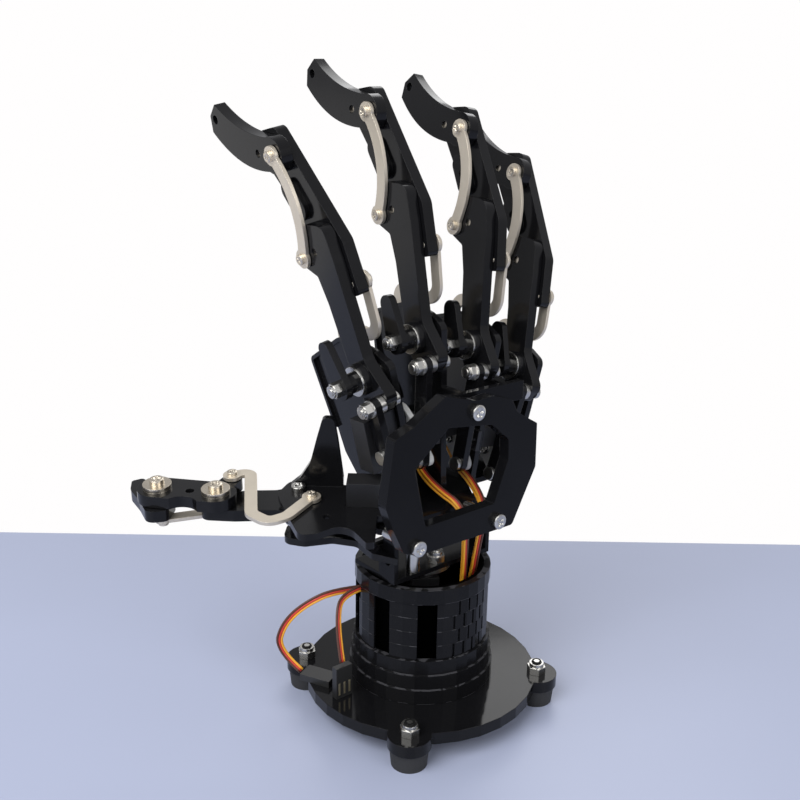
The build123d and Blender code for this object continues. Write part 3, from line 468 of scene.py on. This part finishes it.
class Digit:
    """A finger's plane and its screw places, read from its joints.

    p runs to the palm, q up the finger and n across it, in millimetres from the knuckle.
    """

    def __init__(self, name):
        self.name = name
        self.across = -np.array(JOINTS[name + "_knuckle"]["axis"], float)
        self.knuckle = self.joint("knuckle")
        hinge_p, hinge_q = HINGE_AT.get(name, FINGER_HINGE_AT)
        line = self.joint("middle_hinge") - self.knuckle
        line /= np.linalg.norm(line)
        beside = np.cross(line, self.across)
        reach = np.hypot(hinge_p, hinge_q)
        self.palmward = (line * hinge_p + beside * hinge_q) / reach
        self.upward = (line * hinge_q - beside * hinge_p) / reach

    def joint(self, name):
        """A joint's place, brought to level zero of the finger."""
        place = np.array(JOINTS[f"{self.name}_{name}"]["pos_m"], float)
        origin = np.array(JOINTS[self.name + "_knuckle"]["pos_m"], float) - self.across * MM
        return place - self.across * np.dot(place - origin, self.across)

    def offset(self, p, q):
        """A step in the finger's plane."""
        return (p * self.palmward + q * self.upward) * MM

    def level(self, n):
        """How far level n lies along the finger's across direction, from the origin."""
        return float(np.dot(self.knuckle, self.across)) + n * MM

    def screws(self):
        """For each body: place, level of the head's top, the way that it faces and its radius.

        The push rod's other screw is left plain: its head passes too close to the next finger's.
        """
        anchor = self.knuckle + self.offset(*ANCHOR_AT.get(self.name, FINGER_ANCHOR_AT))
        lobe_from_tip = LOBE_FROM_TIP.get(self.name, FINGER_LOBE_FROM_TIP)
        lobe = self.joint("tip_hinge") + self.offset(*lobe_from_tip)
        cap, way = INDEX_HORN_CAP if self.name == "index" else HORN_CAP
        return {
            "middle": [(self.joint("middle_hinge"), HINGE_TOP, 1, HEAD),
                       (self.joint("tip_hinge"), HINGE_TOP, 1, HEAD)],
            "rear_link": [(self.joint("rear_pivot"), REAR_TOP, 1, LINK_HEAD),
                          (anchor, REAR_TOP, 1, LINK_HEAD)],
            "front_link": [(self.joint("front_pivot"), FRONT_TOP, -1, LINK_HEAD),
                           (lobe, FRONT_TOP, -1, LINK_HEAD)],
            "push_rod": [(self.joint("rod_pivot"), ROD_TOP, 1, HEAD)],
            "horn": [(self.joint("servo_pivot"), cap, way, HEAD)],
            "hand": [(self.knuckle, KNUCKLE_TOP, 1, HEAD)],
        }


# Settings

class HandFinishSettings(bpy.types.PropertyGroup):
    sheet_colour: bpy.props.FloatVectorProperty(
        name="Sheet", description="Colour of the black cut sheet", subtype="COLOR",
        default=(0.004, 0.004, 0.0046), min=0.0, max=1.0)
    nickel_colour: bpy.props.FloatVectorProperty(
        name="Nickel", description="Colour of the plated links", subtype="COLOR",
        default=(0.72, 0.65, 0.54), min=0.0, max=1.0)
    zinc_colour: bpy.props.FloatVectorProperty(
        name="Zinc", description="Colour of the screws and lock nuts", subtype="COLOR",
        default=(0.62, 0.61, 0.58), min=0.0, max=1.0)
    horn_colour: bpy.props.FloatVectorProperty(
        name="Servo horn", description="Colour of the moulded servo horns", subtype="COLOR",
        default=(0.66, 0.66, 0.64), min=0.0, max=1.0)
    floor_colour: bpy.props.FloatVectorProperty(
        name="Floor", description="Colour of the table", subtype="COLOR",
        default=(0.40, 0.44, 0.585), min=0.0, max=1.0)
    dome_height: bpy.props.FloatProperty(
        name="Crown height", description="Height of a screw head's crown", unit="LENGTH",
        default=0.0006, min=0.0001, max=0.002)
    sheet_gloss: bpy.props.FloatProperty(
        name="Sheet roughness", description="Roughness of the black sheet", default=0.10,
        min=0.0, max=1.0)


class HandLeadSettings(bpy.types.PropertyGroup):
    wire_width: bpy.props.FloatProperty(
        name="Wire", description="Diameter of one wire of a lead", unit="LENGTH",
        default=0.001, min=0.0003, max=0.003)
    signal_colour: bpy.props.FloatVectorProperty(
        name="Signal wire", description="Colour of the signal wire", subtype="COLOR",
        default=(0.90, 0.42, 0.03), min=0.0, max=1.0)
    power_colour: bpy.props.FloatVectorProperty(
        name="Power wire", description="Colour of the power wire", subtype="COLOR",
        default=(0.62, 0.05, 0.03), min=0.0, max=1.0)
    ground_colour: bpy.props.FloatVectorProperty(
        name="Ground wire", description="Colour of the ground wire", subtype="COLOR",
        default=(0.10, 0.035, 0.02), min=0.0, max=1.0)


# Each lead's body, how many ribbons it has, and its route in millimetres; then, for each body,
# the way that a lead's flat side starts

LEAD_ROUTES = {
    "palm_lead_a": ("hand", 2, [(2.9, 12.4, 114.4), (2.9, 9.0, 103.0), (2.6, -3.5, 96.5),
                                (4.0, -21.0, 92.5), (7.0, -18.5, 71.0), (7.5, -17.0, 52.5)]),
    "palm_lead_b": ("hand", 2, [(25.7, 15.2, 107.0), (25.7, 8.5, 97.5), (22.5, -5.0, 95.0),
                                (15.5, -21.0, 89.5), (13.5, -18.5, 71.0), (13.5, -15.5, 52.5)]),
    "loop_lead": ("base", 1, [(-17.0, 8.3, 52.5), (-33.0, 16.1, 53.0), (-45.0, 23.0, 47.0),
                              (-52.5, 28.0, 38.0), (-53.0, 33.0, 24.0), (-46.1, 24.6, 15.0)]),
    "plug_lead": ("base", 1, [(-18.0, 6.0, 55.6), (-33.0, 11.5, 54.5), (-41.0, 6.0, 46.0),
                              (-41.0, 1.6, 28.5)]),
}
LEAD_LEAN = {"hand": (1.0, 0.0, 0.0), "base": (0.2, 0.0, 1.0)}


# Operators

class HAND_OT_camera(bpy.types.Operator):
    """Puts the camera where the photograph was taken from"""
    bl_idname = "hand.camera"
    bl_label = "Camera"

    def execute(self, context):
        data = bpy.data.cameras.new("camera")
        data.sensor_width = SENSOR_WIDTH
        data.lens = PHOTO_FOCAL / PHOTO_WIDTH * SENSOR_WIDTH
        data.clip_start = 0.01
        camera = bpy.data.objects.new("camera", data)
        context.scene.collection.objects.link(camera)
        forward = Vector(CAMERA_FORWARD).normalized()
        right = Vector(CAMERA_RIGHT)
        right = (right - forward * right.dot(forward)).normalized()
        up = right.cross(forward)
        turn = Matrix((right, up, -forward)).transposed().to_4x4()
        camera.matrix_world = Matrix.Translation(CAMERA_AT) @ turn
        context.scene.camera = camera
        return {"FINISHED"}


class HAND_OT_leads(bpy.types.Operator):
    """Lays the three-wire servo leads along their routes"""
    bl_idname = "hand.leads"
    bl_label = "Servo leads"

    def execute(self, context):
        settings = context.scene.hand_leads
        skins = [wire_skin("wire_signal", settings.signal_colour),
                 wire_skin("wire_power", settings.power_colour),
                 wire_skin("wire_ground", settings.ground_colour)]
        width = settings.wire_width
        for node, (body, ribbons, route) in LEAD_ROUTES.items():
            path = route_points(context, node, np.array(route) * MM)
            grids = ribbon_grids(path, width, ribbons, np.array(LEAD_LEAN[body]))
            piece = surface("ribbon_" + node, grids, skins[0])
            for skin in skins[1:]:
                piece.data.materials.append(skin)
            paint_wires(piece, len(skins) * ribbons, len(skins))
            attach(piece, body)
            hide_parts(node)
        return {"FINISHED"}


def route_points(context, name, route):
    """Points along the smooth line of a route, read from its spline."""
    curve = bpy.data.curves.new(name + "_line", "CURVE")
    curve.dimensions = "3D"
    curve.resolution_u = 16
    spline = curve.splines.new("NURBS")
    spline.points.add(len(route) - 1)
    spline.points.foreach_set("co", np.c_[route, np.ones(len(route))].ravel())
    spline.order_u = 3
    spline.use_endpoint_u = True
    carrier = bpy.data.objects.new(name + "_line", curve)
    context.scene.collection.objects.link(carrier)
    context.view_layer.update()
    mesh = bpy.data.meshes.new_from_object(carrier)
    line = np.empty(len(mesh.vertices) * 3)
    mesh.vertices.foreach_get("co", line)
    bpy.data.objects.remove(carrier)
    bpy.data.curves.remove(curve)
    bpy.data.meshes.remove(mesh)
    return line.reshape(-1, 3)


def ribbon_grids(path, width, ribbons, lean):
    """One flat lead of three wires, or two that lie on each other and part in the middle.

    The upper lead slides sideways by 0.5 * width * sin(2 pi u) and lifts by
    0.25 * width * sin(pi u)^2, where u runs from 0 to 1 along the path.
    """
    rows = (-width, 0.0, width)
    if ribbons == 1:
        return loft(path, [(x, 0.0) for x in rows], width * 0.5, lean)
    u = np.linspace(0.0, 1.0, len(path))
    slide = 0.5 * width * np.sin(2 * np.pi * u)
    lift = 0.25 * width * np.sin(np.pi * u) ** 2
    lower = [(x - slide * 0.5, -0.5 * width - lift) for x in rows]
    upper = [(x + slide * 0.5, 0.5 * width + lift) for x in rows]
    return loft(path, lower + upper, width * 0.5, lean)


def paint_wires(piece, wires, skins):
    """Gives each separate wire of a lead its own skin, by its place in the mesh."""
    mesh = piece.data
    count = len(mesh.polygons)
    mesh.polygons.foreach_set("material_index", (np.arange(count) * wires // count) % skins)


class HAND_OT_finishes(bpy.types.Operator):
    """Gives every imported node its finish"""
    bl_idname = "hand.finishes"
    bl_label = "Finishes"

    def execute(self, context):
        settings = context.scene.hand_finish
        finish = body_finishes(settings)
        for name in DIGITS:
            finish.update(digit_finishes(settings, name))
        for node, piece in frame["nodes"].items():
            piece.data.materials.clear()
            piece.data.materials.append(finish.get(node, finish["sheet"]))
        return {"FINISHED"}


def body_finishes(s):
    """The base, drum, palm and servo finishes by node, and the sheet of all other nodes."""
    finish = {
        "sheet": black_sheet("black_sheet", s.sheet_colour, s.sheet_gloss),
        "base_plate": black_sheet("base_gloss", s.sheet_colour, DECK_GLOSS, DECK_SHEEN),
        "drum_rings": stacked_sheet("drum_sheet", s.sheet_colour, PLAIN_RIM),
        "slotted_rings": stacked_sheet("slotted_sheet", s.sheet_colour, SLOTTED_RIM),
    }
    palm = black_sheet("palm_sheet", s.sheet_colour, PALM_GLOSS, PALM_SHEEN)
    zinc = metal("bright_zinc", s.zinc_colour, ZINC_ROUGH)
    metal("nickel_heads", s.nickel_colour, NICKEL_ROUGH)
    case = moulded("servo_case", (0.012, 0.012, 0.013), 0.34)
    finish |= {
        "rubber_feet": rubber("foot_rubber", (0.012, 0.012, 0.012)),
        "foot_bolts": bolt_ends("foot_zinc", s.zinc_colour),
        "back_screws": zinc, "knuckle_bolts": zinc, "standoffs": zinc,
        "yaw_horn": metal("turned_aluminium", (0.80, 0.80, 0.82), 0.22),
        "base_servo": case, "finger_servos": case,
        "lead_plugs": moulded("plug_plastic", (0.012, 0.012, 0.012), 0.36),
        "back_plate": palm, "palm_frame": palm, "wrist_bracket": palm,
    }
    return finish


def digit_finishes(s, name):
    """A digit's layered plates and its nickel straps, by node."""
    d = Digit(name)
    horn_band = INDEX_HORN_BAND if name == "index" else HORN_BAND
    layers = {
        "middle": (MIDDLE_BAND, s.sheet_colour, s.nickel_colour, s.sheet_gloss),
        "push_rod": (PUSH_ROD_BAND, s.sheet_colour, s.zinc_colour, s.sheet_gloss),
        "horn": (horn_band, s.horn_colour, s.zinc_colour, HORN_ROUGH),
    }
    finish = {}
    for part, ((low, high), inner, steel, gloss) in layers.items():
        node = f"{name}_{part}"
        finish[node] = layered(node + "_finish", d.across, d.level(low), d.level(high), inner,
                               steel, gloss)
    for part, (low, high) in STRAP_BANDS.items():
        node = f"{name}_{part}"
        finish[node] = strap_finish(node + "_finish", d.across, d.level(low), d.level(high),
                                    s.nickel_colour)
    return finish


class HAND_OT_screw_heads(bpy.types.Operator):
    """Crowns the screw heads, each with a cross recess"""
    bl_idname = "hand.screw_heads"
    bl_label = "Screw heads"

    def execute(self, context):
        height = context.scene.hand_finish.dome_height
        heads = {}
        for name in DIGITS:
            digit_heads(Digit(name), height, heads)
        heads["hand"] += back_heads(height)
        for body, grids in heads.items():
            warm = body.endswith(("_link", "_middle"))
            skin = bpy.data.materials["nickel_heads" if warm else "bright_zinc"]
            piece = surface("screw_crowns_" + body, grids, skin)
            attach(piece, body)
        return {"FINISHED"}


def digit_heads(d, height, heads):
    """Adds a digit's crowns to the lists of the bodies that carry them, each turned its own way."""
    for part, places in d.screws().items():
        body = part if part == "hand" else f"{d.name}_{part}"
        for i, (at, n, out, radius) in enumerate(places):
            turn = 0.6 + 0.7 * i + 0.4 * len(d.name)
            across = np.cos(turn) * d.palmward + np.sin(turn) * d.upward
            crown = height * LOW_CROWN.get(part, radius / HEAD)
            heads.setdefault(body, []).append(screw_dome(
                at + n * MM * d.across, d.across * out, across, radius * MM, crown))


def back_heads(height):
    """The crowns of the back plate's three screws."""
    grids = []
    for i, (x, z) in enumerate(BACK_SCREWS):
        turn = 0.5 + i
        at = np.array((x, BACK_HEAD_Y, z)) * MM
        across = (np.cos(turn), 0.0, np.sin(turn))
        grids.append(screw_dome(at, (0.0, -1.0, 0.0), across, BACK_HEAD * MM, height))
    return grids


class HAND_OT_plug_contacts(bpy.types.Operator):
    """Sets the three contacts into the standing plug"""
    bl_idname = "hand.plug_contacts"
    bl_label = "Plug contacts"

    def execute(self, context):
        brass = metal("contact_metal", (0.70, 0.62, 0.42), 0.3)
        grids = []
        for x in CONTACT_X:
            low = np.array((x - CONTACT_HALF_WIDTH, CONTACT_Y[0], CONTACT_Z[0]))
            high = np.array((x + CONTACT_HALF_WIDTH, CONTACT_Y[1], CONTACT_Z[1]))
            grids.append(slab_grid(low * MM, high * MM))
        piece = surface("plug_contacts", grids, brass, smooth=False)
        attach(piece, "base")
        return {"FINISHED"}


class HAND_OT_stage(bpy.types.Operator):
    """Sets up the table, the white backdrop and the soft lights"""
    bl_idname = "hand.stage"
    bl_label = "Stage"

    def execute(self, context):
        colour = context.scene.hand_finish.floor_colour
        corners = np.array([(-1, -1, 0), (1, -1, 0), (1, 1, 0), (-1, 1, 0)]) * FLOOR_REACH
        mesh = bpy.data.meshes.new("floor")
        mesh.from_pydata(corners.tolist(), [], [(0, 1, 2, 3)])
        floor = bpy.data.objects.new("floor", mesh)
        context.scene.collection.objects.link(floor)
        mesh.materials.append(table_top(colour))
        backdrop_world(context)
        for name, place, target, size, power in LAMPS:
            lamp(context, name, place, target, size, power)
        return {"FINISHED"}


def table_top(colour):
    """A pale table that turns to the white backdrop beyond its far edge."""
    s = Shader("table_top")
    cloud = s.noise(9.0, 2.0, 0.5)
    tone = s.mix(cloud * 0.5, rgb(colour), rgb(colour, 0.9))
    s.set(Base_Color=tone, Roughness=0.42)
    beyond = s.along(FAR_EDGE_WAY) > FAR_EDGE
    camera_ray = s.add("ShaderNodeLightPath", {}, out="Is Camera Ray")
    glossy_ray = s.add("ShaderNodeLightPath", {}, out="Is Glossy Ray")
    table = Sock(s, s.surface.outputs[0])
    white = s.add("ShaderNodeEmission", {}, BACKDROP_WHITE)
    blend = s.add("ShaderNodeMixShader", {}, beyond * (camera_ray + glossy_ray), table, white)
    s.put(s.nodes["Material Output"].inputs[0], blend)
    return s.material


def backdrop_world(context):
    """A white backdrop that only the camera sees, and a gentle light for the object."""
    world = bpy.data.worlds.new("backdrop")
    world.use_nodes = True
    context.scene.world = world
    nodes, links = world.node_tree.nodes, world.node_tree.links
    light = nodes["Background"]
    light.inputs["Color"].default_value = SKY_COLOUR
    light.inputs["Strength"].default_value = SKY_STRENGTH
    seen = nodes.new("ShaderNodeBackground")
    seen.inputs["Color"].default_value = BACKDROP_WHITE
    path = nodes.new("ShaderNodeLightPath")
    blend = nodes.new("ShaderNodeMixShader")
    links.new(path.outputs["Is Camera Ray"], blend.inputs[0])
    links.new(light.outputs[0], blend.inputs[1])
    links.new(seen.outputs[0], blend.inputs[2])
    links.new(blend.outputs[0], nodes["World Output"].inputs[0])


def lamp(context, name, place, target, size, power):
    """A round area lamp at a place, turned to its target."""
    data = bpy.data.lights.new(name, "AREA")
    data.shape = "DISK"
    data.size = size
    data.energy = power
    light = bpy.data.objects.new(name, data)
    context.scene.collection.objects.link(light)
    turn = (Vector(target) - Vector(place)).to_track_quat("-Z", "Y")
    light.matrix_world = Matrix.Translation(place) @ turn.to_matrix().to_4x4()


class HAND_PT_dressing(bpy.types.Panel):
    """Lists the steps and the sizes and colours that they read"""
    bl_label = "Robot Hand"
    bl_idname = "HAND_PT_dressing"
    bl_space_type = "VIEW_3D"
    bl_region_type = "UI"
    bl_category = "Robot Hand"

    def draw(self, context):
        for step in STEPS:
            self.layout.operator("hand." + step)
        for group in (context.scene.hand_finish, context.scene.hand_leads):
            for name in group.__annotations__:
                self.layout.prop(group, name)


STEPS = ("camera", "leads", "finishes", "screw_heads", "plug_contacts", "stage")
CLASSES = (HandFinishSettings, HandLeadSettings, HAND_OT_camera, HAND_OT_leads, HAND_OT_finishes,
           HAND_OT_screw_heads, HAND_OT_plug_contacts, HAND_OT_stage, HAND_PT_dressing)


def register():
    for cls in CLASSES:
        bpy.utils.register_class(cls)
    bpy.types.Scene.hand_finish = bpy.props.PointerProperty(type=HandFinishSettings)
    bpy.types.Scene.hand_leads = bpy.props.PointerProperty(type=HandLeadSettings)


def unregister():
    del bpy.types.Scene.hand_leads
    del bpy.types.Scene.hand_finish
    for cls in reversed(CLASSES):
        bpy.utils.unregister_class(cls)


def main():
    """Runs every step in order."""
    register()
    bpy.context.scene.view_settings.view_transform = "Standard"
    for step in STEPS:
        getattr(bpy.ops.hand, step)()


if __name__ == "__main__":
    main()
